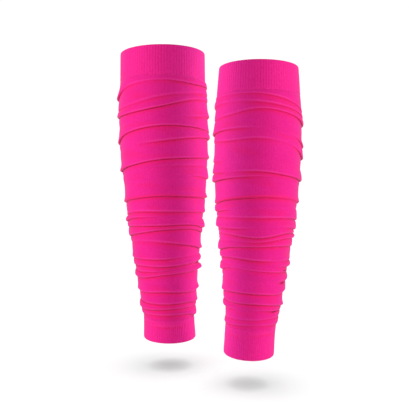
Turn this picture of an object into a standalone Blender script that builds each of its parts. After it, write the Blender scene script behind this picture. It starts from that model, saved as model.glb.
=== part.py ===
"""A pair of calf compression sleeves, hollow, in the shape they take when worn.

Each sleeve is a tube knitted in one piece: a ribbed band at the calf, a plain
leg that has slid down into slanting folds, and a ribbed band at the ankle.
The left sleeve is the one on the left when seen from the front, which is -Y.
The origin is on the left leg's axis at its fullest girth. Metres, +Z up.
"""

import math
from collections import namedtuple

import bmesh
import bpy

MM = 0.001

TOP_HEM = 96.0
BOTTOM_HEM = -269.0
CALF_BAND = 35.5
SEAM_GAP = 0.3

WALL = 1.2
RIB_RISE = 0.6
CALF_RIBS = 100
ANKLE_RIBS = 84
POINTS_PER_RIB = 2
RIB_POINTS_PER_INNER = 4

COLUMNS = 28
INNER_STEP = 18.0

# The profile of a fold: its lip, the shoulder where the panel above curls out to it, and the
# collar at the top of a panel that is tall enough to have one. A short panel makes a full
# roll, and a tall one lies flat down to its lip.
LIP_HEIGHT = 1.4
SHOULDER_HEIGHT = 4.5
SHORT_PANEL = 7.0
TALL_PANEL = 23.0
SHORT_FULLNESS = 0.9
TALL_FULLNESS = 0.35
PANEL_SWELL = 0.02
COLLAR_PANEL = 10.5
COLLAR_DROP = 2.5
COLLAR_OUT = 0.35

ROUGHNESS = 0.75
SHARP_DEGREES = 50.0

PINK = (0.871, 0.014, 0.231)
PINK_RIB = (0.791, 0.012, 0.204)

# A row for each level: its height, and where the cloth lies on the left, right, front and back.
Section = namedtuple("Section", "height left right front back")

# A row for each fold, where the cloth above laps over the cloth below. The first six columns
# are its heights round the leg. The out columns say how far its lip stands out.
Fold = namedtuple(
    "Fold",
    "left front_left front front_right right back out_left out_front out_right out_back",
)

HEIGHT_STATIONS = {
    "right": 0,
    "back": 90,
    "left": 180,
    "front_left": 225,
    "front": 270,
    "front_right": 315,
}
OUT_STATIONS = {"out_right": 0, "out_back": 90, "out_left": 180, "out_front": 270}

LEFT_SECTIONS = (
    Section(96, -53.9, 53.5, -52.5, 55.0),
    Section(57, -54.7, 54.2, -54.3, 58.6),
    Section(30, -56.2, 56.2, -56.6, 62.5),
    Section(0, -55.9, 57.0, -58.5, 64.5),
    Section(-30, -54.9, 56.9, -58.5, 64.5),
    Section(-60, -51.6, 55.5, -57.0, 62.5),
    Section(-90, -48.2, 53.2, -54.0, 58.5),
    Section(-120, -44.8, 49.8, -50.5, 53.5),
    Section(-150, -39.9, 46.8, -46.5, 48.5),
    Section(-180, -35.2, 44.3, -42.5, 44.5),
    Section(-210, -30.4, 41.5, -38.5, 41.0),
    Section(-240, -26.4, 39.4, -35.0, 38.0),
    Section(-269, -26.4, 41.2, -32.5, 37.0),
)

RIGHT_SECTIONS = (
    Section(96, -50.0, 50.2, -51.4, 55.0),
    Section(59, -53.1, 52.7, -54.8, 58.6),
    Section(29, -54.6, 54.1, -57.6, 62.5),
    Section(-1, -55.4, 54.2, -58.5, 64.5),
    Section(-31, -55.8, 53.3, -58.5, 64.0),
    Section(-61, -54.4, 51.0, -56.0, 61.5),
    Section(-91, -51.6, 47.3, -52.5, 56.5),
    Section(-121, -49.0, 42.8, -48.5, 51.5),
    Section(-151, -46.0, 37.7, -45.0, 46.5),
    Section(-181, -43.7, 32.9, -41.5, 42.5),
    Section(-211, -41.0, 27.9, -38.0, 39.5),
    Section(-237, -41.8, 23.2, -35.6, 37.2),
    Section(-269, -43.8, 21.5, -34.4, 37.0),
)

LEFT_FOLDS = (
    Fold(36.5, 48, 53, 51.5, 52.5, 46, 3.0, 1.0, 1.4, 1.6),
    Fold(22, 24, 32.5, 39.5, 42, 34, 1.0, 0.9, 1.2, 0.8),
    Fold(14.5, 15, 21.5, 32, 34.5, 25, 2.3, 2.2, 1.4, 1.2),
    Fold(0, 4, 8, 11, 15, 8, 0.0, 0.0, 2.2, 1.0),
    Fold(-19.5, -8, -1, -1, -4.5, -8, 2.2, 2.0, 1.4, 1.8),
    Fold(-30, -25, -20, -14, -12, -20, 0.0, 1.0, 2.6, 1.0),
    Fold(-54.5, -48, -41, -38, -37, -45, 2.8, 2.0, 2.2, 1.8),
    Fold(-72, -69, -65, -61, -63.5, -66, 0.0, 0.0, 2.0, 0.8),
    Fold(-94, -88.5, -84.5, -86, -88, -89, 2.4, 2.2, 2.6, 1.8),
    Fold(-111.5, -105, -104, -105, -107, -106, 0.4, 1.4, 2.2, 1.4),
    Fold(-118.5, -112, -110.5, -112, -115, -114, 3.0, 0.2, 0.2, 0.8),
    Fold(-125, -122, -120.5, -120.5, -126.5, -124, 1.4, 1.4, 3.5, 1.6),
    Fold(-137, -131.5, -126, -125.5, -133, -134, 1.6, 2.2, 1.4, 1.6),
    Fold(-145, -142, -142, -146.5, -153, -147, 0.5, 0.9, 2.8, 1.2),
    Fold(-164, -163.5, -163, -160.5, -160, -162, 2.0, 1.2, 0.3, 1.0),
    Fold(-173.5, -172, -172, -169.5, -167.5, -171, 1.6, 2.0, 2.4, 1.6),
    Fold(-179, -180, -177.5, -174.5, -172.5, -178, 0.4, 0.6, 0.2, 0.8),
    Fold(-188, -187.5, -182, -180, -179, -187, 2.5, 1.4, 4.2, 1.8),
    Fold(-205.5, -206, -204, -206, -205, -206, 2.3, 2.2, 3.2, 2.0),
    Fold(-218, -219.5, -220, -219.5, -222, -219, 0.8, 1.8, 2.8, 2.0),
    Fold(-228, -228, -226.5, -226, -227, -227, 2.8, 2.0, 1.6, 1.8),
    Fold(-237.5, -235, -234.5, -235, -240, -235.5, 1.4, 1.0, 2.6, 1.2),
)

RIGHT_FOLDS = (
    Fold(54, 56, 54.5, 46, 36, 44, 0.6, 1.0, 1.0, 1.4),
    Fold(44.5, 46.5, 44, 38, 29, 36, 1.6, 1.2, 1.6, 1.0),
    Fold(28, 31, 37, 31, 21, 24, 0.8, 1.4, 2.2, 1.8),
    Fold(11, 14, 13, 6, -6, 3, 2.4, 0.2, 2.9, 1.0),
    Fold(1, 0, 1.5, -6, -20.5, -9, 0.8, 0.9, 2.9, 1.2),
    Fold(-24, -24, -22, -28, -34, -28, 1.2, 0.0, 0.0, 0.4),
    Fold(-38, -37.5, -37, -42.5, -48, -42, 2.0, 2.0, 2.6, 1.2),
    Fold(-48.5, -44.5, -42.5, -48, -55, -49, 2.8, 1.0, 0.2, 1.0),
    Fold(-76, -70, -67, -70, -76, -72, 1.8, 2.0, 2.4, 1.8),
    Fold(-86, -83, -79, -81, -83, -82, 2.4, 0.0, 0.0, 0.6),
    Fold(-92, -92.5, -92.5, -93, -97, -92, 0.6, 0.9, 2.4, 1.4),
    Fold(-105, -106, -105, -105, -109, -105, 3.0, 0.4, 3.0, 1.4),
    Fold(-111.5, -113, -116, -111.5, -113.5, -113, 0.5, 2.0, 1.2, 1.4),
    Fold(-122, -121.5, -121.5, -118, -119.5, -120.5, 0.3, 0.9, 2.8, 1.0),
    Fold(-137, -129, -127, -127.5, -130, -131, 3.0, 2.0, 1.6, 1.8),
    Fold(-143.5, -141.5, -144.5, -147, -147, -146, 1.6, 1.2, 2.0, 1.4),
    Fold(-149, -148, -151, -153.5, -155.5, -152.5, 0.0, 0.0, 3.4, 0.6),
    Fold(-160, -154.5, -157, -160.5, -163, -160, 2.8, 1.6, 0.8, 1.6),
    Fold(-168, -168, -170, -173, -173, -172, 0.4, 0.8, 2.8, 1.4),
    Fold(-186.5, -184.5, -185.5, -188, -184.5, -187, 2.6, 2.2, 2.8, 2.0),
    Fold(-197, -198, -198.5, -202, -206, -202, 1.6, 2.2, 3.4, 2.0),
    Fold(-207, -207.5, -207, -209, -211.5, -211, 2.8, 0.7, 1.0, 1.2),
    Fold(-221, -220, -219.5, -219, -219.5, -220, 0.4, 1.0, 0.8, 1.0),
)

# The hem tilts say how much higher a sleeve's hem is on the right than on the left.
Sleeve = namedtuple("Sleeve", "name place ankle_band top_tilt bottom_tilt sections folds")

SLEEVES = (
    Sleeve("left", (0.0, 0.0, 0.0), 27.0, 1.8, -1.0, LEFT_SECTIONS, LEFT_FOLDS),
    Sleeve("right", (122.0, -8.0, -19.0), 37.0, -1.4, -1.6, RIGHT_SECTIONS, RIGHT_FOLDS),
)

# A line of points round the leg: its height and its distance out from the leg's outline, by angle.
Ring = namedtuple("Ring", "height out")


def clear_scene():
    for obj in list(bpy.data.objects):
        bpy.data.objects.remove(obj, do_unlink=True)


def cloth(name, colour):
    material = bpy.data.materials.new(name)
    material.use_nodes = True
    shader = material.node_tree.nodes["Principled BSDF"]
    shader.inputs["Base Color"].default_value = (*colour, 1.0)
    shader.inputs["Roughness"].default_value = ROUGHNESS
    return material


def smooth_curve(xs, ys, x):
    """A smooth curve through the points, with the slope at each taken from its neighbours."""
    last = len(xs) - 1
    if x <= xs[0]:
        return ys[0]
    if x >= xs[last]:
        return ys[last]
    i = max(k for k in range(last) if xs[k] <= x)

    def slope(k):
        low, high = max(k - 1, 0), min(k + 1, last)
        return (ys[high] - ys[low]) / (xs[high] - xs[low])

    span = xs[i + 1] - xs[i]
    t = (x - xs[i]) / span
    return (
        ys[i] * (2 * t**3 - 3 * t**2 + 1)
        + slope(i) * span * (t**3 - 2 * t**2 + t)
        + ys[i + 1] * (3 * t**2 - 2 * t**3)
        + slope(i + 1) * span * (t**3 - t**2)
    )


def round_the_leg(row, stations):
    """The function of the angle that takes the row's value at each of its stations."""
    angles = sorted((angle, getattr(row, name)) for name, angle in stations.items())
    laps = [(angle + turn, value) for turn in (-360, 0, 360) for angle, value in angles]
    xs = [angle for angle, _ in laps]
    ys = [value for _, value in laps]
    return lambda angle: smooth_curve(xs, ys, math.degrees(angle) % 360)


def outline_at(sections, height):
    rows = sorted(sections)
    heights = [row.height for row in rows]
    return [
        smooth_curve(heights, [getattr(row, side) for row in rows], height)
        for side in ("left", "right", "front", "back")
    ]


def place_point(sections, angle, height, out):
    """The point at this angle and height, moved out from the oval section of the leg."""
    left, right, front, back = outline_at(sections, height)
    wide = (right - left) / 2 + out
    deep = (back - front) / 2 + out
    return (
        ((left + right) / 2 + wide * math.cos(angle)) * MM,
        ((front + back) / 2 + deep * math.sin(angle)) * MM,
        height * MM,
    )


def level(height, tilt=0.0):
    """A flat ring on the leg's outline, which may tilt up towards the right."""
    return Ring(lambda angle: height + tilt * math.cos(angle) / 2, lambda angle: 0.0)


def lip_of(fold):
    """The edge of the cloth above, where it laps over."""
    heights = round_the_leg(fold, HEIGHT_STATIONS)
    outs = round_the_leg(fold, OUT_STATIONS)
    return Ring(
        lambda angle: heights(angle) + LIP_HEIGHT,
        lambda angle: max(outs(angle), 0.0),
    )


def notch_of(fold):
    """Where the cloth comes back to the leg under the lip."""
    return Ring(round_the_leg(fold, HEIGHT_STATIONS), lambda angle: 0.0)


def fullness_of(panel):
    """The share of the lip's reach that a panel of this height has at its shoulder."""
    tallness = (panel - SHORT_PANEL) / (TALL_PANEL - SHORT_PANEL)
    return SHORT_FULLNESS + (TALL_FULLNESS - SHORT_FULLNESS) * min(max(tallness, 0.0), 1.0)


def shoulder_of(above, lip):
    """Where a panel starts to curl out to its lip."""

    def height(angle):
        panel = above.height(angle) - lip.height(angle)
        return lip.height(angle) + min(panel / 2, SHOULDER_HEIGHT)

    def out(angle):
        panel = above.height(angle) - lip.height(angle)
        return fullness_of(panel) * lip.out(angle) + PANEL_SWELL * panel

    return Ring(height, out)


def collar_of(notch, lip):
    """The top of a tall panel, just below the fold over it."""

    def height(angle):
        panel = notch.height(angle) - lip.height(angle)
        return notch.height(angle) - min(panel / 4, COLLAR_DROP)

    return Ring(height, lambda angle: COLLAR_OUT)


def leg_rings(top, bottom, folds):
    """The rings of the leg's outside, from the top down."""
    front = math.radians(HEIGHT_STATIONS["front"])
    rings = [level(top)]
    for fold in folds:
        lip = lip_of(fold)
        above = rings[-1]
        if above.height(front) - lip.height(front) > COLLAR_PANEL:
            rings.append(collar_of(above, lip))
        rings += [shoulder_of(above, lip), lip, notch_of(fold)]
    return rings + [level(bottom)]


def plain_rings(top, bottom):
    """The rings of the leg's inside, which lies smooth against the leg."""
    steps = math.ceil((top - bottom) / INNER_STEP)
    return [level(top + (bottom - top) * k / steps) for k in range(steps + 1)]


def inside_of(ring):
    return Ring(ring.height, lambda angle: -WALL)


def add_ring(bm, sections, ring, count, rise=0.0):
    """A ring of points. With a rise, every second one stands out, as the top of a rib."""
    points = []
    for i in range(count):
        angle = 2 * math.pi * i / count
        out = ring.out(angle) + (rise if i % POINTS_PER_RIB else 0.0)
        points.append(bm.verts.new(place_point(sections, angle, ring.height(angle), out)))
    return points


def join_rings(bm, first, second):
    """Faces between two rings. The first may have a whole number of points for each in the second."""
    count = len(second)
    ratio = len(first) // count
    for i in range(count):
        end = (i + 1) % count
        if ratio == 1:
            bm.faces.new((first[i], first[end], second[end], second[i]))
            continue
        start = i * ratio
        near = [first[(start + k) % len(first)] for k in range(ratio + 1)]
        turn = ratio // 2
        for k in range(ratio):
            corner = second[i] if k < turn else second[end]
            bm.faces.new((near[k], near[k + 1], corner))
        bm.faces.new((near[turn], second[end], second[i]))


def make_tube(name, sections, outer, inner, counts, rise, material, parent):
    """A closed wall with an open bore, from its outer and inner rings, top to bottom."""
    bm = bmesh.new()
    outer_rings = [add_ring(bm, sections, ring, counts[0], rise) for ring in outer]
    inner_rings = [add_ring(bm, sections, inside_of(ring), counts[1]) for ring in inner]
    for rings in (outer_rings, inner_rings):
        for above, below in zip(rings, rings[1:]):
            join_rings(bm, above, below)
    for end in (0, -1):
        join_rings(bm, outer_rings[end], inner_rings[end])
    bmesh.ops.recalc_face_normals(bm, faces=bm.faces)
    mesh = bpy.data.meshes.new(name)
    bm.to_mesh(mesh)
    bm.free()
    mesh.shade_smooth()
    mesh.set_sharp_from_angle(angle=math.radians(SHARP_DEGREES))
    mesh.materials.append(material)
    obj = bpy.data.objects.new(name, mesh)
    obj.parent = parent
    bpy.context.scene.collection.objects.link(obj)


def make_band(name, sections, top, bottom, ribs, material, parent):
    """A ribbed band: ribs raised on its outside over a plain inside."""
    rings = [top, bottom]
    points = ribs * POINTS_PER_RIB
    counts = (points, points // RIB_POINTS_PER_INNER)
    make_tube(name, sections, rings, rings, counts, RIB_RISE, material, parent)


def make_sleeve(sleeve, plain, ribbed):
    leg = bpy.data.objects.new(f"{sleeve.name}_leg_axis", None)
    leg.location = [distance * MM for distance in sleeve.place]
    bpy.context.scene.collection.objects.link(leg)

    calf_edge = TOP_HEM - CALF_BAND
    ankle_edge = BOTTOM_HEM + sleeve.ankle_band
    top_hem = level(TOP_HEM, sleeve.top_tilt)
    bottom_hem = level(BOTTOM_HEM, sleeve.bottom_tilt)
    tube_top = calf_edge - SEAM_GAP
    tube_bottom = ankle_edge + SEAM_GAP
    sections = sleeve.sections

    name = f"{sleeve.name}_calf_cuff"
    make_band(name, sections, top_hem, level(calf_edge), CALF_RIBS, ribbed, leg)

    name = f"{sleeve.name}_tube"
    outer = leg_rings(tube_top, tube_bottom, sleeve.folds)
    inner = plain_rings(tube_top, tube_bottom)
    make_tube(name, sections, outer, inner, (COLUMNS, COLUMNS), 0.0, plain, leg)

    name = f"{sleeve.name}_ankle_cuff"
    make_band(name, sections, level(ankle_edge), bottom_hem, ANKLE_RIBS, ribbed, leg)


def main():
    clear_scene()
    plain = cloth("plain compression knit", PINK)
    ribbed = cloth("ribbed compression knit", PINK_RIB)
    for sleeve in SLEEVES:
        make_sleeve(sleeve, plain, ribbed)


main()
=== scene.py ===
# A pair of knitted calf sleeves, slid down into folds: the looks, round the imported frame.
import math

import bpy
import numpy as np
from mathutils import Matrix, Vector


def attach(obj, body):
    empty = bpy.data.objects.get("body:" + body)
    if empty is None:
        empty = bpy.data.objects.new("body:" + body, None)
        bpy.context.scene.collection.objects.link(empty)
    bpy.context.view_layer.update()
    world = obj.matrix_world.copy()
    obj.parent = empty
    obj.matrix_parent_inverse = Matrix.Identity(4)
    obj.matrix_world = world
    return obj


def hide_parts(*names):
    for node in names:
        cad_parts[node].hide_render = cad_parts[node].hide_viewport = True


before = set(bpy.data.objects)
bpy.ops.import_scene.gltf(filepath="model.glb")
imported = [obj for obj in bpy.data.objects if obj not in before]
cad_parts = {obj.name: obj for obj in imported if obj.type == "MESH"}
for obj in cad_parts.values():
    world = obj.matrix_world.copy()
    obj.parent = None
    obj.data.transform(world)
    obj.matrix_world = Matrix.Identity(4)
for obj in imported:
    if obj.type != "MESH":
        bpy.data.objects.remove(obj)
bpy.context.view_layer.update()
print("sleeves: frame loaded, nodes", sorted(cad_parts))

mm = 0.001
stationAngles = (0, 90, 180, 225, 270, 315)  # right, back, left, front left, front, front right


def colourOf(hexText):
    # an sRGB hex value as the linear colour that a shader socket takes
    parts = [int(hexText[i:i + 2], 16) / 255 for i in (1, 3, 5)]
    line = [c / 12.92 if c <= 0.04045 else ((c + 0.055) / 1.055) ** 2.4 for c in parts]
    return (*line, 1.0)


def addNode(tree, kind, settings=None, links=None):
    # links: input name or index -> an output socket, or a plain value for that input
    node = tree.nodes.new(kind)
    for key, value in (settings or {}).items():
        setattr(node, key, value)
    for key, value in (links or {}).items():
        socket = node.inputs[key]
        if isinstance(value, bpy.types.NodeSocket):
            tree.links.new(value, socket)
        else:
            socket.default_value = value
    return node


def knitMaterial(name, look):
    material = bpy.data.materials.new(name)
    material.use_nodes = True
    tree = material.node_tree
    shader = tree.nodes["Principled BSDF"]
    for label, key in (("Roughness", "roughness"), ("IOR", "ior"), ("Specular IOR Level", "specular"),
                       ("Sheen Weight", "sheen"), ("Sheen Roughness", "sheenRoughness")):
        shader.inputs[label].default_value = look[key]
    shader.inputs["Sheen Tint"].default_value = colourOf(look["sheenTint"])

    def calc(operation, first, second=0.0, third=0.0):
        links = {0: first, 1: second, 2: third}
        return addNode(tree, "ShaderNodeMath", {"operation": operation}, links).outputs[0]

    def blend(share, first, second):
        # inputs 6 and 7 and output 2 are the Mix node's colours
        return addNode(tree, "ShaderNodeMix", {"data_type": "RGBA"}, {0: share, 6: first, 7: second}).outputs[2]

    place = addNode(tree, "ShaderNodeTexCoord").outputs["Object"]
    uv = addNode(tree, "ShaderNodeUVMap", {"uv_map": "knit"}).outputs[0]
    parts = addNode(tree, "ShaderNodeSeparateXYZ", None, {0: uv})
    wale, course = parts.outputs[0], parts.outputs[1]

    # uneven yarn take-up: broad soft patches, and a fine mottle drawn out a little along the wales
    broad = addNode(tree, "ShaderNodeTexNoise", None, {"Vector": place, "Scale": 1 / look["patch"], "Detail": 2.0})
    along = {0: place, 1: (1.0, 1.0, look["streak"])}
    drawn = addNode(tree, "ShaderNodeVectorMath", {"operation": "MULTIPLY"}, along).outputs[0]
    fine = addNode(tree, "ShaderNodeTexNoise", None, {"Vector": drawn, "Scale": 1 / look["mottle"], "Detail": 3.0})
    uneven = calc("MULTIPLY_ADD", broad.outputs[0], look["patchShare"], look["evenShare"])
    uneven = calc("MULTIPLY_ADD", fine.outputs[0], look["mottleShare"], uneven)

    # the wales: a narrow valley between the stitch columns
    turn = calc("MULTIPLY", wale, math.pi)
    crown = calc("POWER", calc("ABSOLUTE", calc("SINE", turn)), look["crown"])
    valley = calc("SUBTRACT", 1.0, crown)

    # the colours, one over the other: painted highlight on the ridges, painted red shade below the folds and painted
    # dark shade in the creases; a crease shade past 1 is a tuck, and goes on to the tuck's painted dark shade
    cloth = blend(uneven, colourOf(look["base"]), colourOf(look["deep"]))
    # painted shade in the wale valleys, in the deeper colour
    cloth = blend(calc("MULTIPLY", valley, look["valleyShare"]), cloth, colourOf(look["deep"]))
    for layer, colour in (("ridge", "highlight"), ("glow", "glow"), ("creaseShade", "creaseShade")):
        painted = addNode(tree, "ShaderNodeAttribute", {"attribute_name": layer}).outputs["Fac"]
        cloth = blend(calc("MULTIPLY", painted, look[layer + "Share"]), cloth, colourOf(look[colour]))
    cloth = blend(calc("SUBTRACT", painted, 1.0), cloth, colourOf(look["tuckShade"]))
    tree.links.new(cloth, shader.inputs["Base Color"])

    # the bump: wales, the fine stitches on them, and the mottle
    small = calc("ABSOLUTE", calc("SINE", calc("MULTIPLY", wale, math.pi * look["stitchesPerWale"])))
    row = calc("ABSOLUTE", calc("SINE", calc("MULTIPLY", course, math.pi / look["courseMm"])))
    height = calc("MULTIPLY", crown, look["waleHeight"])
    height = calc("MULTIPLY_ADD", calc("MULTIPLY", small, row), look["stitchHeight"], height)
    height = calc("MULTIPLY_ADD", fine.outputs[0], look["mottleHeight"], height)
    bump = addNode(tree, "ShaderNodeBump", None, {"Strength": 1.0, "Distance": mm, "Height": height})
    tree.links.new(bump.outputs[0], shader.inputs["Normal"])
    return material


def smoothThrough(xs, ys, at):
    # a smooth curve through the points, its slope at each taken from the neighbours
    xs, ys = np.asarray(xs, float), np.asarray(ys, float)
    slopes = np.empty(len(xs))
    slopes[1:-1] = (ys[2:] - ys[:-2]) / (xs[2:] - xs[:-2])
    slopes[0] = (ys[1] - ys[0]) / (xs[1] - xs[0])
    slopes[-1] = (ys[-1] - ys[-2]) / (xs[-1] - xs[-2])
    at = np.clip(at, xs[0], xs[-1])
    i = np.clip(np.searchsorted(xs, at, side="right") - 1, 0, len(xs) - 2)
    span = xs[i + 1] - xs[i]
    t = (at - xs[i]) / span
    return (ys[i] * (2 * t**3 - 3 * t**2 + 1) + slopes[i] * span * (t**3 - 2 * t**2 + t)
            + ys[i + 1] * (3 * t**2 - 2 * t**3) + slopes[i + 1] * span * (t**3 - t**2))


def aroundLeg(values, angles):
    # values at left, front left, front, front right, right and back, as a curve that closes
    left, frontLeft, front, frontRight, right, back = values
    ring = (right, back, left, frontLeft, front, frontRight)
    xs = [angle + lap for lap in (-360, 0, 360) for angle in stationAngles]
    return smoothThrough(xs, list(ring) * 3, np.asarray(angles) % 360)


def softStep(x):
    x = np.clip(x, 0.0, 1.0)
    return x * x * (3 - 2 * x)


def bell(x, reach):
    return np.exp(-(x / reach) ** 2)


def pointsOnLeg(sleeve, angles, heights, outs):
    # heights and outs are arrays of rows by columns, in mm on the sleeve's own leg
    table = np.array(sleeve["outline"][::-1], float)
    left, right, front, back = [smoothThrough(table[:, 0], table[:, k], heights) for k in (1, 2, 3, 4)]
    turn = np.radians(angles)[None, :]
    x = (left + right) / 2 + ((right - left) / 2 + outs) * np.cos(turn)
    y = (front + back) / 2 + ((back - front) / 2 + outs) * np.sin(turn)
    return (np.stack([x, y, heights], axis=-1) + np.array(sleeve["place"])) * mm


def wallMesh(name, sleeve, angles, rows, wales, extras=()):
    # rows of (height, out, painted crease shade, painted ridge highlight, painted red shade), each an array of columns;
    # they run down the outside and up the inside, and close into a ring
    heights, outs, creaseShade, ridge, glow = [np.array([row[k] for row in rows]) for k in range(5)]
    points = pointsOnLeg(sleeve, angles, heights, outs)
    rowCount, columns = heights.shape
    i, j = np.meshgrid(np.arange(rowCount), np.arange(columns), indexing="ij")
    down, side = (i + 1) % rowCount, (j + 1) % columns
    corners = [i * columns + j, down * columns + j, down * columns + side, i * columns + side]
    faces = np.stack(corners, axis=-1).reshape(-1, 4)

    mesh = bpy.data.meshes.new(name)
    mesh.vertices.add(rowCount * columns)
    mesh.vertices.foreach_set("co", points.reshape(-1).astype(np.float32))
    mesh.loops.add(faces.size)
    mesh.loops.foreach_set("vertex_index", faces.reshape(-1).astype(np.int32))
    mesh.polygons.add(len(faces))
    mesh.polygons.foreach_set("loop_start", np.arange(0, faces.size, 4, dtype=np.int32))
    mesh.update(calc_edges=True)

    # the knit's own map: across in wales, down in mm of cloth
    lengths = np.linalg.norm(np.diff(np.concatenate([points, points[:1]]), axis=0), axis=2)
    along = np.concatenate([np.zeros((1, columns)), np.cumsum(lengths, axis=0)]) / mm
    nearU, farU = j * wales / columns, (j + 1) * wales / columns
    u = np.stack([nearU, nearU, farU, farU], axis=-1)
    v = np.stack([along[i, j], along[i + 1, j], along[i + 1, side], along[i, side]], axis=-1)
    layer = mesh.uv_layers.new(name="knit")
    layer.data.foreach_set("uv", np.stack([u, v], axis=-1).reshape(-1).astype(np.float32))
    for label, values in (("creaseShade", creaseShade), ("ridge", ridge), ("glow", glow), *extras):
        attribute = mesh.attributes.new(label, "FLOAT", "POINT")
        attribute.data.foreach_set("value", np.asarray(values, np.float32).reshape(-1))
    mesh.shade_smooth()
    mesh.validate()
    obj = bpy.data.objects.new(name, mesh)
    bpy.context.scene.collection.objects.link(obj)
    return obj


# The two sleeves, in mm, each on its own leg's axis.
# outline: height, then the cloth's left, right, front and back
# folds, from the top: heights at left, front left, front, front right, right and back; how far the lip
# stands out there; from 0, a soft ridge, to 1, how sharply the cloth is creased under it and how dark its
# painted crease shade is; and on some a fourth set, where the roll itself gets painted red shade
# tucks, where a fold's end pinches into a small hollow with painted dark shade: angle, height, half width in
# degrees, half height, depth
# wrinkles, faint ridges across the ankle hem with painted highlight and red shade: the same columns, the last one a
# rise
leftSleeve = {
    "place": (0.0, 0.0, 0.0),     # where the leg's axis is
    "ankleBand": 27.0,            # height of the ribbed ankle hem
    "topTilt": 1.8,               # the calf hem is this much higher on the right than on the left,
    "bottomTilt": -1.0,           # and the ankle hem this much
    "outline": [
        (96, -53.9, 53.5, -52.5, 55), (57, -54.7, 54.2, -54.3, 58.6), (30, -56.2, 56.2, -56.6, 62.5),
        (0, -55.9, 57, -58.5, 64.5), (-30, -54.9, 56.9, -58.5, 64.5), (-60, -51.6, 55.5, -57, 62.5),
        (-90, -48.2, 53.2, -54, 58.5), (-120, -44.8, 49.8, -50.5, 53.5), (-150, -39.9, 46.8, -46.5, 48.5),
        (-180, -35.2, 44.3, -42.5, 44.5), (-210, -30.4, 41.5, -38.5, 41), (-240, -26.4, 39.4, -35, 38),
        (-269, -26.4, 41.2, -32.5, 37)],
    "folds": [
        ((36.5, 48, 53, 51.5, 52.5, 46), (3, 0.9, 0.6, 1.5, 1.8, 1.6), (0.7, 0, 0.1, 0.8, 1, 0.6)),
        ((22, 24, 32.5, 39.5, 42, 34), (1, 0.6, 0.7, 0.5, 1.3, 0.8), (0.2, 0.1, 0.15, 0.15, 0.4, 0.3)),
        ((14.5, 15, 21.5, 32, 34.5, 25), (2.3, 1.8, 1.8, 1.2, 0.9, 1.2), (0.8, 0.8, 0.9, 0.6, 0.3, 0.5)),
        ((0, 4, 8, 11, 15, 8), (0, 0, 0, 0.5, 2.2, 1), (0, 0, 0, 0.2, 0.6, 0.3)),
        ((-19.5, -8, -1, -1, -4.5, -8), (2.2, 1.8, 1.6, 1.8, 1.8, 1.8), (0.7, 0.6, 0.8, 0.9, 0.9, 0.6)),
        ((-30, -25, -20, -14, -12, -20), (0, 0, 0.9, 1.6, 2.6, 1), (0, 0, 0.3, 0.8, 0.9, 0.4)),
        ((-54.5, -48, -41, -38, -37, -45), (2.8, 2, 2, 2, 2.2, 1.8), (0.8, 0.9, 0.8, 1, 0.9, 0.7)),
        ((-60, -54, -50, -48.5, -48.5, -56), (0, 0, 0.3, 0.5, 0.3, 0), (0, 0, 0.1, 0.2, 0.1, 0)),
        ((-72, -69, -65, -61, -63.5, -66), (0, 0, 0, 0.3, 2.4, 0.8), (0, 0, 0, 0.3, 0.8, 0.3)),
        ((-94, -88.5, -84.5, -86, -88, -89), (2.4, 2, 2.2, 2.2, 2.6, 1.8), (0.6, 0.8, 0.8, 0.8, 0.8, 0.7),
         (0.4, 0.8, 0.8, 0.5, 0.7, 0)),
        ((-111.5, -105, -104, -105, -107, -106), (0.4, 1.4, 1.2, 1.4, 2.2, 1.4), (0.3, 0.4, 0.4, 0.5, 0.6, 0.5)),
        ((-118.5, -112, -110.5, -112, -115, -114), (3, 1.2, 0.2, 0.1, 0.2, 0.8), (0.9, 0.6, 0.1, 0, 0, 0.4)),
        ((-125, -122, -120.5, -120.5, -126.5, -124), (1.4, 1.4, 1.2, 1.4, 3.5, 1.6),
         (0.8, 0.9, 0.8, 0.8, 0.9, 0.7)),
        ((-137, -131.5, -126, -125.5, -133, -134), (1.8, 1.8, 1.8, 1.4, 1.4, 1.6), (0.9, 0.9, 0.8, 0.6, 0.8, 0.7)),
        ((-145, -142, -142, -146.5, -153, -147), (0.5, 0.5, 0.9, 1.8, 2.8, 1.2), (0, 0, 0.2, 0.7, 0.9, 0.5)),
        ((-164, -163.5, -163, -160.5, -160, -162), (2, 1.6, 1, 0.3, 0.3, 1), (0.7, 0.7, 0.5, 0.2, 0, 0.4)),
        ((-173.5, -172, -172, -169.5, -167.5, -171), (1.6, 1.4, 1.8, 2.2, 2.4, 1.6), (0.7, 0.7, 0.7, 0.7, 1, 0.7)),
        ((-179, -180, -177.5, -174.5, -172.5, -178), (0.4, 0.9, 0.5, 0.2, 0.2, 0.8),
         (0.3, 0.5, 0.3, 0.2, 0.2, 0.4)),
        ((-188, -187.5, -182, -180, -179, -187), (2.5, 1.6, 1.4, 1.6, 4.2, 1.8), (0.8, 0.7, 0.7, 0.7, 0.9, 0.7)),
        ((-205.5, -206, -204, -206, -205, -206), (2.3, 1.8, 1.8, 2, 3.2, 2), (0.6, 0.8, 0.8, 0.8, 0.8, 0.7)),
        ((-218, -219.5, -220, -219.5, -222, -219), (0.8, 1.4, 1.8, 1.8, 2.8, 2), (0.5, 0.6, 0.5, 0.6, 0.7, 0.6)),
        ((-228, -228, -226.5, -226, -227, -227), (2.8, 2.6, 2, 1.6, 1.6, 1.8), (1, 1, 0.6, 0.35, 0.5, 0.7)),
        ((-237.5, -235, -234.5, -235, -240, -235.5), (1.4, 1, 1, 1.2, 2.6, 1.2), (0.4, 0.3, 0.3, 0.4, 0.7, 0.4))],
    "tucks": [(345, -170.0, 11, 1.3, 0.8), (340, -241.0, 6, 0.8, 0.4), (208, -228.4, 17, 0.8, 0.4)],
    "wrinkles": [(268, -247.5, 42, 1.7, 0.3), (215, -243.5, 30, 1.4, 0.2), (90, -250.0, 50, 1.8, 0.3),
                 (10, -246.0, 22, 1.6, 0.2)],
}

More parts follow.
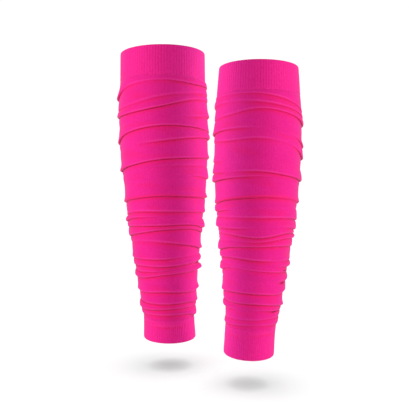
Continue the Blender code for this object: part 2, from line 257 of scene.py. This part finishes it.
rightSleeve = {
    "place": (122.0, -8.0, -19.0),
    "ankleBand": 37.0,
    "topTilt": -1.4,
    "bottomTilt": -1.6,
    "outline": [
        (96, -50, 50.2, -51.4, 55), (59, -53.1, 52.7, -54.8, 58.6), (29, -54.6, 54.1, -57.6, 62.5),
        (-1, -55.4, 54.2, -58.5, 64.5), (-31, -55.8, 53.3, -58.5, 64), (-61, -54.4, 51, -56, 61.5),
        (-91, -51.6, 47.3, -52.5, 56.5), (-121, -49, 42.8, -48.5, 51.5), (-151, -46, 37.7, -45, 46.5),
        (-181, -43.7, 32.9, -41.5, 42.5), (-211, -41, 27.9, -38, 39.5), (-237, -41.8, 23.2, -35.6, 37.2),
        (-269, -43.8, 21.5, -34.4, 37)],
    "folds": [
        ((54, 56, 54.5, 46, 36, 44), (0.6, 0.6, 0.8, 1.3, 1, 1.4), (0.1, 0, 0.1, 0.2, 0.3, 0.3)),
        ((44.5, 46.5, 44, 38, 29, 36), (1.6, 0.4, 0.9, 1.2, 1.6, 1), (0.3, 0.1, 0.15, 0.3, 0.4, 0.3)),
        ((28, 31, 37, 31, 21, 24), (0.8, 0.7, 1, 1.6, 2.4, 1.8), (0.2, 0.2, 0.3, 0.4, 0.8, 0.5)),
        ((11, 14, 13, 6, -6, 3), (2.6, 1.4, 0.2, 0.3, 2.9, 1), (0.9, 0.4, 0, 0, 0.9, 0.3)),
        ((1, 0, 1.5, -6, -20.5, -9), (0.8, 0.8, 0.7, 0.4, 2.9, 1.2), (0.3, 0.3, 0.2, 0.2, 0.9, 0.4)),
        ((-24, -24, -22, -28, -34, -28), (1.2, 0, 0, 0, 0, 0.4), (0.3, 0, 0, 0, 0.2, 0.2)),
        ((-38, -37.5, -37, -42.5, -48, -42), (2, 0.3, 1.4, 2, 2.6, 1.2), (0.6, 0.2, 0.5, 0.8, 0.8, 0.5)),
        ((-48.5, -44.5, -42.5, -48, -55, -49), (2.8, 1.9, 0.6, 0, 0.2, 1), (0.9, 0.7, 0.3, 0, 0, 0.4)),
        ((-76, -70, -67, -70, -76, -72), (1.8, 2.2, 2, 1.2, 2.4, 1.8), (0.8, 0.9, 0.4, 0.2, 0.4, 0.6),
         (0.5, 1, 0.9, 0.7, 0.2, 0)),
        ((-86, -83, -79, -81, -83, -82), (2.4, 0.3, 0, 0, 0, 0.6), (0.9, 0.2, 0, 0, 0, 0.3)),
        ((-92, -92.5, -92.5, -93, -97, -92), (0.9, 0.7, 1, 1.5, 2.4, 1.4), (0.2, 0.1, 0.15, 0.6, 0.8, 0.5)),
        ((-105, -106, -105, -105, -109, -105), (3, 1.2, 0.2, 0.5, 3, 1.4), (0.9, 0.5, 0.1, 0.1, 0.9, 0.5)),
        ((-111.5, -113, -116, -111.5, -113.5, -113), (0.5, 1.4, 2, 1.8, 1.2, 1.4), (0.3, 0.7, 0.8, 0.7, 0.4, 0.6)),
        ((-122, -121.5, -121.5, -118, -119.5, -120.5), (0.3, 0.2, 0.9, 1.2, 2.8, 1),
         (0.2, 0.2, 0.3, 0.4, 0.6, 0.4)),
        ((-134.5, -128.5, -127, -127.5, -130, -131), (3, 1.8, 1.8, 1.7, 1.6, 1.8), (0.8, 0.6, 0.5, 0.6, 0.7, 0.7)),
        ((-143.5, -141.5, -144.5, -147, -147, -146), (1.6, 1.7, 1.2, 0.4, 2, 1.4), (0.8, 0.8, 0.4, 0.1, 0.7, 0.6)),
        ((-149, -148, -151, -153.5, -155.5, -152.5), (0, 0, 0, 0.6, 3.4, 0.6), (0, 0, 0, 0.2, 0.8, 0.3)),
        ((-160, -154.5, -157, -160.5, -163, -160), (2.8, 0.6, 0.7, 1, 0.8, 1.6), (0.6, 0.1, 0.3, 0.5, 0.5, 0.6)),
        ((-168, -168, -170, -173, -173, -172), (0.4, 0.1, 0.1, 0.3, 2.8, 1.4), (0.2, 0, 0, 0.2, 0.9, 0.4)),
        ((-186.5, -184.5, -185.5, -188, -186.5, -187), (2.6, 2, 2, 2, 2.8, 2), (0.8, 0.9, 0.8, 0.8, 0.7, 0.7)),
        ((-197, -198, -198.5, -202, -206, -202), (1.6, 2, 2.2, 2.2, 3.4, 2), (0.8, 0.9, 0.8, 0.8, 0.9, 0.8)),
        ((-207, -207.5, -207, -209, -211.5, -211), (2.8, 0.4, 0.4, 0.9, 1, 1.2), (0.5, 0.2, 0.2, 0.9, 0.5, 0.4)),
        ((-221, -220, -219.5, -219, -219.5, -220), (0.4, 0.5, 0.6, 0.6, 0.8, 1), (0.2, 0.3, 0.3, 0.2, 0.3, 0.3)),
        ((-229, -227.5, -226, -227.5, -230, -229), (1.3, 1, 0.6, 0.8, 1.2, 0.8), (0.4, 0.4, 0.25, 0.4, 0.5, 0.3))],
    "tucks": [(330, -158.6, 6, 0.9, 0.5), (328, -174.4, 8, 1.0, 0.6), (315, -209.7, 10, 0.7, 0.4),
              (196, -84.5, 8, 1.0, 0.5)],
    "wrinkles": [(300, -236.5, 34, 1.5, 0.3), (222, -238.5, 24, 1.7, 0.2), (80, -240.0, 45, 1.8, 0.3),
                 (170, -246.0, 20, 1.6, 0.2)],
}

sleeves = {"left": leftSleeve, "right": rightSleeve}

knit = {
    "hemTop": 96.0,        # free hem at the calf
    "hemBottom": -270.0,   # free hem at the ankle
    "ankleFoot": -269.0,   # the ankle band's height is counted from here
    "calfBand": 35.5,      # height of the ribbed welt
    "meetGap": 0.04,       # the cloth runs on from band to leg, so the pieces all but meet
    "inside": -1.4,        # the smooth inside, from the leg's outline
    "insideStep": 14.0,    # rows are this far apart up the inside of the leg,
    "crisp": 0.02,         # with one more this share of a step from each end, so that the edges stay crisp
    "wales": 100,          # stitch columns drawn round the leg: 3.4 mm at the calf, as coarse as they show
}

# the plain tube, slid down into folds; sizes in mm
leg = {
    "columns": 180,
    "flatGirth": 290, "flatLength": 380,   # the relaxed knit, before it is pulled on
    "edgeIn": 0.06,        # the tube's two ends turn in by this much,
    "edgeHeight": 0.2,     # over this height, so that the change of stitch shows as a fine line
    "lipHeight": 1.1,      # the lip's front stands this far above its crease,
    "softer": 1.8,         # and this much higher where the fold is a soft ridge,
    "lipShare": 0.24,      # but no higher than this share of its panel
    "fullLip": 0.7,        # a lip that stands out this far has its whole crease and its painted crease shade, red shade and ridge highlight
    "groove": 0.3,         # the crease goes this deep under the lip,
    "grooveReach": 0.5,    # and is gone this far below it
    "creaseShadeReach": 0.75,   # how far below a fold the painted dark crease shade shows,
    "creaseShadeEven": 0.8,     # and the share of it that is the same all along
    "glowReach": 3.6,      # how far below a fold the cloth gets painted red shade,
    "sideGlow": 0.35,      # and how much of that shows at the two sides
    "sideDark": 0.7,       # the painted crease shade runs darker towards the two sides, where the rolls are fuller
    "sideHighlight": 0.3,       # how much of a ridge's painted highlight shows at the two sides
    "ridgeAt": 0.2,        # the painted ridge highlight is this far above the lip's front,
    "ridgeReach": 0.75,    # and fades over this
    "rollShadeReach": 1.6,     # how far up a roll its painted red shade goes
    "frontLip": 0.62,      # the lips lie flatter on the shin and calf,
    "sideLip": 1.2,        # and fuller at the two sides
    "hang": 0.3,           # how far the roll hangs over the crease, as a share of its lip,
    "hangLip": 2.2,        # which counts up to this size
    "collarOut": 0.2,      # below a crease the cloth stands off by this much,
    "collarRise": 0.9,     # from this far down,
    "collarFade": 5.0,     # to this far
    "swell": 0.02,         # a panel's middle swells by this share of its height
    "curlReach": 4.6,      # how soon a tall panel curls out to its lip
    "shortPanel": 8.0,     # a panel this short is one full roll
    "tallPanel": 24.0,     # and one this tall curls at its foot alone
    "panelStep": 2.4,      # between its ends, a panel's rows are this far apart at most
    "collarRows": ((0.3, 0.2), (0.65, 0.4), (1.05, 0.6), (2.0, 0.8)),  # at its head: mm, most share of the collar
    "collar": 3.2, "collarShare": 0.3,   # the collar's height: mm, most share of the panel
    "curlRows": (0.2, 0.38, 0.54, 0.68, 0.8, 0.91, 1.0),               # at its foot: share of the curl
    "curl": 7.5, "curlShare": 0.55,      # the curl's height: mm, most share of the panel
    "rollTurns": (18, 36, 52, 66, 78, 90),                             # degrees round the lip's underside,
    "ridgeTo": 40, "glowTo": 50,         # where on that turn the painted highlight ends and the painted red shade is whole,
    "creaseShadeFrom": 20, "creaseShadeOver": 40,  # where the painted dark shade begins, and over how much it deepens,
    "hangFrom": 0.3, "hangOver": 0.8,    # and the same for the overhang, in radians
    "ripple": 0.17,        # slack in the cloth
    "rippleEnd": 2.5,      # which dies out this near a crease or a lip
    "rippleGlow": 0.35,    # how much painted red shade shows in the slack's hollows,
    "hollowFrom": 0.04, "hollowOver": 0.2,   # from this depth on
}


def rippleAt(sleeve, angles, heights):
    # slight slack in the cloth: a few long waves that never repeat evenly
    a = np.radians(angles)
    z = heights + sleeve["place"][0] * 0.37
    main = np.sin(z / 2.9 + 2.1 * np.sin(a + 0.6) + 0.7 * np.sin(3 * a)) * (0.5 + 0.5 * np.sin(2 * a + z / 23))
    slow = 0.8 * np.sin(z / 5.3 + 1.7 * np.cos(2 * a + 1.1))
    return leg["ripple"] * (main + slow + 0.6 * np.sin(5 * a + z / 17))


def panelDepths(tall, lipHeight):
    # how far each row of a panel lies below the crease above it: close at the head and foot, even between
    collar = np.minimum(leg["collar"], leg["collarShare"] * tall)
    curl = np.minimum(leg["curl"], leg["curlShare"] * tall)
    steps = max(1, math.ceil((tall - collar - curl).max() / leg["panelStep"]))
    depths = [np.minimum(depth, collar * share) for depth, share in leg["collarRows"]] + [collar]
    depths += [collar + (tall - curl - collar) * k / steps for k in range(1, steps + 1)]
    depths += [tall - curl + (curl - lipHeight) * share for share in leg["curlRows"]]
    return depths


def legRows(sleeve):
    angles = np.arange(leg["columns"]) * 360.0 / leg["columns"]
    turns = np.radians(angles)
    ones = np.ones_like(angles)
    none = ones * 0
    top = ones * (knit["hemTop"] - knit["calfBand"] - knit["meetGap"])
    bottom = ones * (knit["ankleFoot"] + sleeve["ankleBand"] + knit["meetGap"])
    fuller = leg["frontLip"] + (leg["sideLip"] - leg["frontLip"]) * np.cos(turns) ** 4
    facing = np.sin(turns) ** 2
    redAround = leg["sideGlow"] + (1 - leg["sideGlow"]) * facing
    highlightAround = leg["sideHighlight"] + (1 - leg["sideHighlight"]) * facing
    darker = 1 + leg["sideDark"] * np.cos(turns) ** 6

    creases = []
    for heights, lips, sharpness, *rollShading in sleeve["folds"]:
        lip = np.maximum(aroundLeg(lips, angles), 0) * fuller
        sharp = np.clip(aroundLeg(sharpness, angles), 0, 1)
        rollShade = np.clip(aroundLeg(rollShading[0], angles), 0, 1) if rollShading else none
        creases.append((aroundLeg(heights, angles), lip, sharp, rollShade))
    creases.append((bottom, none, none, none))

    upper, lipAbove, sharpAbove = top - leg["edgeHeight"], none, none
    rows = [(top, ones * -leg["edgeIn"], none, none, none), (upper, none, none, none, none)]
    for lower, lip, sharp, rollShade in creases:
        # a panel hangs from the crease above it and curls out to its lip; the last one ends at the ankle hem
        last = lower is bottom
        tall = upper - lower
        strongAbove, strong = softStep(lipAbove / leg["fullLip"]), softStep(lip / leg["fullLip"])
        lipHeight = np.minimum(leg["lipHeight"] + leg["softer"] * (1 - sharp), leg["lipShare"] * tall)
        if last:
            lipHeight = ones * leg["edgeHeight"]
        roll = 1 - softStep((tall - leg["shortPanel"]) / (leg["tallPanel"] - leg["shortPanel"]))
        alongCrease = leg["creaseShadeEven"] + (1 - leg["creaseShadeEven"]) * np.sin(2.3 * turns + upper / 7)
        for down in panelDepths(tall, lipHeight):
            above = np.maximum(tall - down - lipHeight, 0)
            full = np.sqrt(np.maximum(0, 1 - (above / np.maximum(tall - lipHeight, 0.1)) ** 2))
            tight = np.exp(-(above / leg["curlReach"]) ** 1.5)
            out = lip * (roll * full + (1 - roll) * tight)
            out += leg["swell"] * tall * np.sin(np.pi * np.clip(down / tall, 0, 1))
            out -= leg["groove"] * strongAbove * sharpAbove * bell(down, leg["grooveReach"])
            standOff = (1 - bell(down, leg["collarRise"])) * bell(down, leg["collarFade"])
            out += leg["collarOut"] * strongAbove * standOff
            ends = softStep(down / leg["rippleEnd"]) * softStep(above / leg["rippleEnd"])
            slack = rippleAt(sleeve, angles, upper - down) * ends
            out += slack
            # painted dark shade in the crease under the lip above, darker to the sides, and darker still in a tuck's
            # hollow
            creaseShade = strongAbove * sharpAbove * bell(down, leg["creaseShadeReach"]) * alongCrease * darker
            for tuckAngle, tuckHeight, halfWidth, halfHeight, depth in sleeve["tucks"]:
                pinch = bell(angles - tuckAngle, halfWidth) * bell(upper - down - tuckHeight, halfHeight)
                out -= depth * pinch
                creaseShade = np.maximum(creaseShade, 2 * pinch)
            # painted highlight along the ridge of the lip
            ridge = highlightAround * strong * bell(above - leg["ridgeAt"], leg["ridgeReach"])
            # painted red shade below the crease, on the rolls given it and in the slack's hollows
            glow = redAround * strongAbove * np.exp(-(down / leg["glowReach"]) ** 1.6)
            glow = np.maximum(glow, rollShade * bell(above, leg["rollShadeReach"]))
            hollow = softStep((-leg["hollowFrom"] - slack) / leg["hollowOver"])
            glow = np.maximum(glow, leg["rippleGlow"] * hollow)
            rows.append((upper - down, out, creaseShade, ridge, glow))
        if last:
            rows.append((lower, ones * -leg["edgeIn"], none, none, none))
            break
        # round the lip and back in under it to the crease
        for degrees in leg["rollTurns"]:
            turn = math.radians(degrees)
            hanging = leg["hang"] * sharp * np.minimum(lip, leg["hangLip"]) * math.sin(2 * turn)
            hanging = hanging * softStep((turn - leg["hangFrom"]) / leg["hangOver"])
            under = lipHeight * (1 - math.sin(turn)) - hanging
            groove = leg["groove"] * strong * sharp
            out = -groove + (lip + groove) * math.cos(turn)
            # under the lip: the painted dark shade deepens round the turn, the painted highlight fades and the painted
            # red shade grows
            creaseShade = darker * strong * sharp * softStep((degrees - leg["creaseShadeFrom"]) / leg["creaseShadeOver"])
            ridge = highlightAround * strong * (1 - softStep(degrees / leg["ridgeTo"]))
            glow = np.maximum(rollShade, redAround * strong * softStep(degrees / leg["glowTo"]))
            rows.append((lower + under, out, creaseShade, ridge, glow))
        upper, lipAbove, sharpAbove = lower, lip, sharp

    # up the plain inside
    steps = math.ceil((top[0] - bottom[0]) / knit["insideStep"])
    for k in (0, knit["crisp"], *range(1, steps), steps - knit["crisp"], steps):
        rows.append((bottom + (top - bottom) * k / steps, ones * knit["inside"], none, none, none))
    return angles, rows


# the ribbed welt at the calf and the ribbed hem at the ankle; sizes in mm
calfBand = {
    "flatGirth": 300, "flatLength": 36,    # the relaxed knit
    "ribs": 100, "pointsPerRib": 8,
    "rise": 0.18,          # how far a rib stands out of its valley
    "crown": 0.6,          # below 1 the crowns are broad and the valleys narrow
    "edgeFade": 1.2,       # the ribs die out this near the leg,
    "hemFade": 2.2,        # and this near the free hem, where the knit turns back on itself
}

# its flat length is the height of the sleeve's own ankle band
ankleBand = {
    "flatGirth": 200,
    "ribs": 84, "pointsPerRib": 8,
    "rise": 0.23, "crown": 0.6, "edgeFade": 3.0, "hemFade": 1.6,
}

# what both bands share
bandWall = {
    "unevenness": 0.2,     # how much a rib's rise varies,
    "patches": 60.0,       # over patches of 1 / 60 m
    "seed": 3.0,
    "heights": (0, 0.02, 0.05, *(k / 20 for k in range(2, 19)), 0.94, 0.97, 0.995, 1),  # rows down the outside
    "inside": (0, 0.03, 1, 2, 3, 4),                        # rows up the inside, in quarters of its height
    "hemTurns": (25, 50, 75, 90, 105, 130, 155),            # degrees round the free hem
    "edgeIn": 0.05,        # the edge by the leg turns in by this share of the wall
    "wrinkleHighlight": 1.6,   # how much painted highlight a wrinkle's ridge gets for each mm of its rise,
    "wrinkleGlow": 2.4,    # and how much painted red shade the cloth gets below it,
    "glowDrop": 1.3,       # this many half heights down
}


def ribTree():
    # raises ribs on a band along its own normals, from the attributes that the band carries
    tree = bpy.data.node_groups.new("knitRibs", "GeometryNodeTree")
    sockets = {}
    for label, kind, value in (
            ("Band", "NodeSocketGeometry", None), ("Ribs", "NodeSocketInt", calfBand["ribs"]),
            ("Rise", "NodeSocketFloat", calfBand["rise"] * mm), ("Crown", "NodeSocketFloat", calfBand["crown"]),
            ("Unevenness", "NodeSocketFloat", bandWall["unevenness"]), ("Seed", "NodeSocketFloat", bandWall["seed"]),
            ("Cloth", "NodeSocketMaterial", None)):
        sockets[label] = tree.interface.new_socket(label, in_out="INPUT", socket_type=kind)
        if value is not None:
            sockets[label].default_value = value
    tree.interface.new_socket("Band", in_out="OUTPUT", socket_type="NodeSocketGeometry")
    given = addNode(tree, "NodeGroupInput").outputs
    result = addNode(tree, "NodeGroupOutput")

    def calc(operation, first, second=0.0):
        return addNode(tree, "ShaderNodeMath", {"operation": operation}, {0: first, 1: second}).outputs[0]

    def carried(label):
        settings = {"data_type": "FLOAT"}
        return addNode(tree, "GeometryNodeInputNamedAttribute", settings, {"Name": label}).outputs[0]

    turn = calc("MULTIPLY", calc("MULTIPLY", carried("around"), given["Ribs"]), math.pi)
    wave = calc("POWER", calc("ABSOLUTE", calc("SINE", turn)), given["Crown"])
    patches = {"Scale": bandWall["patches"], "W": given["Seed"]}
    uneven = addNode(tree, "ShaderNodeTexNoise", {"noise_dimensions": "4D"}, patches)
    share = calc("ADD", 1.0, calc("MULTIPLY", calc("SUBTRACT", uneven.outputs[0], 0.5), given["Unevenness"]))
    lift = calc("MULTIPLY", calc("MULTIPLY", wave, given["Rise"]), calc("MULTIPLY", carried("ribbed"), share))
    normal = addNode(tree, "GeometryNodeInputNormal").outputs[0]
    offset = addNode(tree, "ShaderNodeVectorMath", {"operation": "SCALE"}, {0: normal, "Scale": lift}).outputs[0]
    moved = addNode(tree, "GeometryNodeSetPosition", None, {"Geometry": given["Band"], "Offset": offset})
    real = addNode(tree, "GeometryNodeRealizeInstances", None, {"Geometry": moved.outputs[0]})
    finish = {"Geometry": real.outputs[0], "Material": given["Cloth"]}
    painted = addNode(tree, "GeometryNodeSetMaterial", None, finish)
    tree.links.new(painted.outputs[0], result.inputs[0])
    return tree, {label: socket.identifier for label, socket in sockets.items()}


def bandRows(band, freeHem, meets, tilt, wrinkles):
    # freeHem is the open end, and meets the edge that the leg runs on from, above it or below it;
    # rows of (height, out, painted crease shade, painted ridge highlight, painted red shade, ribbed)
    count = band["ribs"] * band["pointsPerRib"]
    angles = np.arange(count) * 360.0 / count
    ones = np.ones_like(angles)
    none = ones * 0
    hem = freeHem + tilt * np.cos(np.radians(angles)) / 2
    down = 1 if freeHem > meets else -1
    radius = -knit["inside"] / 2
    start = hem - down * radius
    rows = []
    for share in bandWall["heights"]:
        height = start + (meets - start) * share
        out, ridge, glow = none, none, none
        fade = softStep(np.abs(height - hem) / band["hemFade"]) * softStep(np.abs(height - meets) / band["edgeFade"])
        for angle, level, halfWidth, halfHeight, rise in wrinkles:
            across = rise * bell((angles - angle + 180) % 360 - 180, halfWidth)
            lift = across * bell(height - level, halfHeight)
            below = across * np.exp(-((height - level) / halfHeight + bandWall["glowDrop"]) ** 2)
            # a wrinkle's ridge gets painted highlight, and the cloth below it painted red shade
            out, ridge = out + lift, np.maximum(ridge, bandWall["wrinkleHighlight"] * lift)
            glow = np.maximum(glow, bandWall["wrinkleGlow"] * below)
        rows.append((height, out, none, ridge, glow, fade))
    rows.append((ones * meets, ones * knit["inside"] * bandWall["edgeIn"], none, none, none, none))
    for k in bandWall["inside"]:
        rows.append((meets + (start - meets) * k / 4, ones * knit["inside"], none, none, none, none))
    for t in np.radians(bandWall["hemTurns"]):
        out = ones * knit["inside"] / 2 - radius * math.cos(t)
        rows.append((start + down * radius * math.sin(t), out, none, none, none, none))
    return angles, rows if down > 0 else rows[::-1]


def makeBand(name, sleeve, band, freeHem, meets, tilt, wrinkles=()):
    angles, rows = bandRows(band, freeHem, meets, tilt, wrinkles)
    around = np.tile(angles / 360.0, (len(rows), 1))
    extras = (("around", around), ("ribbed", np.array([row[5] for row in rows])))
    plain = wallMesh(name + "_flat", sleeve, angles, [row[:5] for row in rows], band["ribs"], extras)
    modifier = plain.modifiers.new("ribs", "NODES")
    modifier.node_group = ribs
    modifier[ribInputs["Ribs"]] = band["ribs"]
    modifier[ribInputs["Rise"]] = band["rise"] * mm
    modifier[ribInputs["Crown"]] = band["crown"]
    modifier[ribInputs["Cloth"]] = ribbedKnit
    graph = bpy.context.evaluated_depsgraph_get()
    raised = plain.evaluated_get(graph)
    mesh = bpy.data.meshes.new_from_object(raised, preserve_all_data_layers=True, depsgraph=graph)
    mesh.name = name
    bpy.data.objects.remove(plain)
    obj = bpy.data.objects.new(name, mesh)
    bpy.context.scene.collection.objects.link(obj)
    return obj


# Single jersey in nylon and elastane, dyed a hot pink: matt, with a soft pale bloom of fibre ends where it
# turns away; the red glow of light going from cloth to cloth in the folds is painted in as red shade.
# Its wales are drawn three stitches wide, since real ones are too fine to show at this size
plainLook = {
    "base": "#E41F8A", "deep": "#CC1374", "highlight": "#EE4098", "glow": "#DE0F52", "creaseShade": "#B20A40", "tuckShade": "#3C0828",
    "patch": 26 * mm, "patchShare": 0.3,
    "mottle": 1.25 * mm, "mottleShare": 1.6, "streak": 0.55, "evenShare": -0.35,
    "valleyShare": 0.4, "ridgeShare": 0.45, "glowShare": 0.7, "creaseShadeShare": 1.0,
    "roughness": 0.72, "ior": 1.45, "specular": 0.08,
    "sheen": 0.42, "sheenRoughness": 0.38, "sheenTint": "#FFBCE6",
    "crown": 0.5, "stitchesPerWale": 3, "courseMm": 1.1,
    "waleHeight": 0.06, "stitchHeight": 0.03, "mottleHeight": 0.06,   # bump, in mm
}
# The same yarn knitted one by one into ribs: a lighter copy as painted light, since the bands catch more light, with
# painted shade in the valleys
ribbedLook = dict(plainLook, base="#EA258D", deep="#D21374", valleyShare=0.3, waleHeight=0.05)

plainKnit = knitMaterial("plain compression knit", plainLook)
ribbedKnit = knitMaterial("ribbed compression knit", ribbedLook)
ribs, ribInputs = ribTree()
print("sleeves: finishes made")


def settle(piece, node):
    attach(piece, "root")
    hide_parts(node)
    print("sleeves:", piece.name, len(piece.data.polygons) * 2, "triangles")


clothPieces = {}
for side, sleeve in sleeves.items():
    angles, rows = legRows(sleeve)
    tube = wallMesh(f"{side}_leg_cloth", sleeve, angles, rows, knit["wales"])
    tube.data.materials.append(plainKnit)
    settle(tube, f"{side}_tube")

    calfEdge = knit["hemTop"] - knit["calfBand"]
    calf = makeBand(f"{side}_calf_welt", sleeve, calfBand, knit["hemTop"], calfEdge, sleeve["topTilt"])
    settle(calf, f"{side}_calf_cuff")

    ankleEdge = knit["ankleFoot"] + sleeve["ankleBand"]
    ankle = makeBand(f"{side}_ankle_hem", sleeve, ankleBand, knit["hemBottom"], ankleEdge,
                     sleeve["bottomTilt"], sleeve["wrinkles"])
    settle(ankle, f"{side}_ankle_cuff")
    clothPieces[side] = (tube, calf, ankle)


# each sleeve has its own softboxes, as the two were lit one by one for the photograph:
# bearing from the front towards the outer side, rise, distance, width and height in metres, power in watts, colour
white, cool = (1.0, 1.0, 1.0), (0.90, 1.0, 1.20)
softboxes = {
    "left": {
        "key": (60.0, 0.17, 1.3, 0.55, 0.8, 17.7, white),
        "rim": (-98.0, 0.145, 1.1, 0.55, 0.8, 15.0, cool),
        "fill": (10.0, -0.33, 0.40, 0.30, 0.20, 0.26, white),
        "back": (165.0, 0.1, 0.95, 0.40, 1.10, 3.0, white),
    },
    "right": {
        "key": (62.0, 0.17, 1.3, 0.55, 0.8, 17.2, white),
        "rim": (-95.0, 0.145, 1.1, 0.55, 0.8, 14.5, cool),
        "fill": (-10.0, -0.33, 0.40, 0.30, 0.20, 0.36, white),
        "back": (165.0, 0.1, 0.95, 0.40, 1.10, 3.0, white),
    },
}
aimBelow = 0.09          # the boxes point at each leg's middle, this far under its axis mark

# a sheet of white paper under each sleeve, in metres; the left one lies higher and ends on a slant over the right
paper = {
    "left": -0.3090, "right": -0.3310,   # heights, so that each sleeve hangs over its own shadow
    "reach": 6.0,                        # the other edges are this far out
    "parting": 0.0823, "slant": 0.787,   # the left sheet's edge is at x = parting + slant * y,
    "thinning": 0.03,                    # and thins out over this much on each side of it
    "grey": (0.15, 0.15, 0.15, 1.0), "roughness": 0.9,
    "glow": 0.39,                        # what the paper gives by itself, which keeps the shadows a clean grey
}

# two broad suns over each sheet, one leaning left and one right
overhead = {"strength": 15.7, "angle": 64.0, "lean": 18.0}
# the light all round is a little weaker from below, and the camera sees plain white past the paper
sky = {"below": 0.46, "above": 0.51, "from": -0.5, "to": 0.3, "seen": 1.05}
# the photograph's viewpoint, with the focal length in pixels of its own frame
view = {"place": (0.0578, -0.680, -0.06886), "tilt": 87.3, "sensor": 36.0, "focalPixels": 523, "framePixels": 416}


def areaLight(name, place, aim, width, tall, power, colour, lit):
    data = bpy.data.lights.new(name, "AREA")
    data.shape, data.size, data.size_y, data.energy, data.color = "RECTANGLE", width, tall, power, colour
    lamp = bpy.data.objects.new(name, data)
    lamp.location = place
    lamp.rotation_euler = (Vector(aim) - Vector(place)).to_track_quat("-Z", "Y").to_euler()
    lamp.visible_camera = False
    lamp.light_linking.receiver_collection = lit
    lamp.light_linking.blocker_collection = lit
    bpy.context.scene.collection.objects.link(lamp)


def paperMaterial(side):
    material = bpy.data.materials.new("white paper sweep, " + side)
    material.use_nodes = True
    tree = material.node_tree
    sweep = tree.nodes["Principled BSDF"]
    sweep.inputs["Base Color"].default_value = paper["grey"]
    sweep.inputs["Roughness"].default_value = paper["roughness"]
    sweep.inputs["Specular IOR Level"].default_value = 0.0
    sweep.inputs["Emission Color"].default_value = (1.0, 1.0, 1.0, 1.0)
    sweep.inputs["Emission Strength"].default_value = paper["glow"]
    if side == "left":
        # thins out to nothing towards its slanting edge, so that no shadow ends on a line
        place = addNode(tree, "ShaderNodeTexCoord").outputs["Object"]
        run = math.hypot(1, paper["slant"])
        along = {0: place, 1: (1 / run, -paper["slant"] / run, 0.0)}
        across = addNode(tree, "ShaderNodeVectorMath", {"operation": "DOT_PRODUCT"}, along).outputs["Value"]
        edge = paper["parting"] / run
        cover = addNode(tree, "ShaderNodeMapRange", {"interpolation_type": "SMOOTHSTEP"}, {
            "Value": across, "From Min": edge - paper["thinning"], "From Max": edge + paper["thinning"],
            "To Min": 1.0, "To Max": 0.0})
        tree.links.new(cover.outputs[0], sweep.inputs["Alpha"])
    return material


litCloth = {}
for side, sleeve in sleeves.items():
    lit = litCloth[side] = bpy.data.collections.new(side + " cloth")
    for piece in clothPieces[side]:
        lit.objects.link(piece)
    outer = -1 if side == "left" else 1
    aim = (sleeve["place"][0] * mm, sleeve["place"][1] * mm, sleeve["place"][2] * mm - aimBelow)
    for name, (bearing, rise, distance, width, tall, power, colour) in softboxes[side].items():
        turn = math.radians(bearing * outer)
        place = (aim[0] + distance * math.sin(turn), aim[1] - distance * math.cos(turn), aim[2] + rise)
        areaLight(f"{side} {name}", place, aim, width, tall, power, colour, lit)

for side in sleeves:
    # each sheet is lit from overhead past its own sleeve alone
    reach, height = paper["reach"], paper[side]
    near = far = reach
    if side == "left":
        middle = paper["parting"] + paper["thinning"] * math.hypot(1, paper["slant"])
        near, far = middle - paper["slant"] * reach, middle + paper["slant"] * reach
    corners = [(-reach, -reach, height), (near, -reach, height), (far, reach, height), (-reach, reach, height)]
    sheet = bpy.data.meshes.new(side + " paper")
    sheet.from_pydata(corners, [], [(0, 1, 2, 3)])
    sheet.materials.append(paperMaterial(side))
    floor = bpy.data.objects.new(side + "_paper", sheet)
    bpy.context.scene.collection.objects.link(floor)
    floor.visible_diffuse = False
    floor.visible_glossy = False
    onFloor = bpy.data.collections.new(side + " paper only")
    onFloor.objects.link(floor)
    for lean in (-overhead["lean"], overhead["lean"]):
        data = bpy.data.lights.new(side + " overhead", "SUN")
        data.energy, data.angle = overhead["strength"] / 2, math.radians(overhead["angle"])
        sun = bpy.data.objects.new(side + " overhead", data)
        sun.rotation_euler = (0.0, math.radians(lean), 0.0)
        sun.light_linking.receiver_collection = onFloor
        sun.light_linking.blocker_collection = litCloth[side]
        bpy.context.scene.collection.objects.link(sun)

world = bpy.data.worlds.new("studio")
bpy.context.scene.world = world
world.use_nodes = True
background = world.node_tree.nodes["Background"]
background.inputs["Color"].default_value = (1, 1, 1, 1)
ray = addNode(world.node_tree, "ShaderNodeLightPath").outputs["Is Camera Ray"]
towards = addNode(world.node_tree, "ShaderNodeTexCoord").outputs["Generated"]
upward = addNode(world.node_tree, "ShaderNodeSeparateXYZ", None, {0: towards}).outputs[2]
fall = {"Value": upward, "From Min": sky["from"], "From Max": sky["to"], "To Min": sky["below"], "To Max": sky["above"]}
lighting = addNode(world.node_tree, "ShaderNodeMapRange", None, fall).outputs[0]
choice = {"Value": ray, "To Min": lighting, "To Max": sky["seen"]}
strength = addNode(world.node_tree, "ShaderNodeMapRange", None, choice)
world.node_tree.links.new(strength.outputs[0], background.inputs["Strength"])

camera = bpy.data.objects.new("camera", bpy.data.cameras.new("camera"))
camera.data.sensor_width = view["sensor"]
camera.data.lens = view["sensor"] * view["focalPixels"] / view["framePixels"]
camera.location = view["place"]
camera.rotation_euler = (math.radians(view["tilt"]), 0.0, 0.0)
camera.data.clip_start = 0.01
bpy.context.scene.collection.objects.link(camera)
bpy.context.scene.camera = camera
bpy.context.scene.view_settings.view_transform = "Standard"
print("sleeves: studio set")
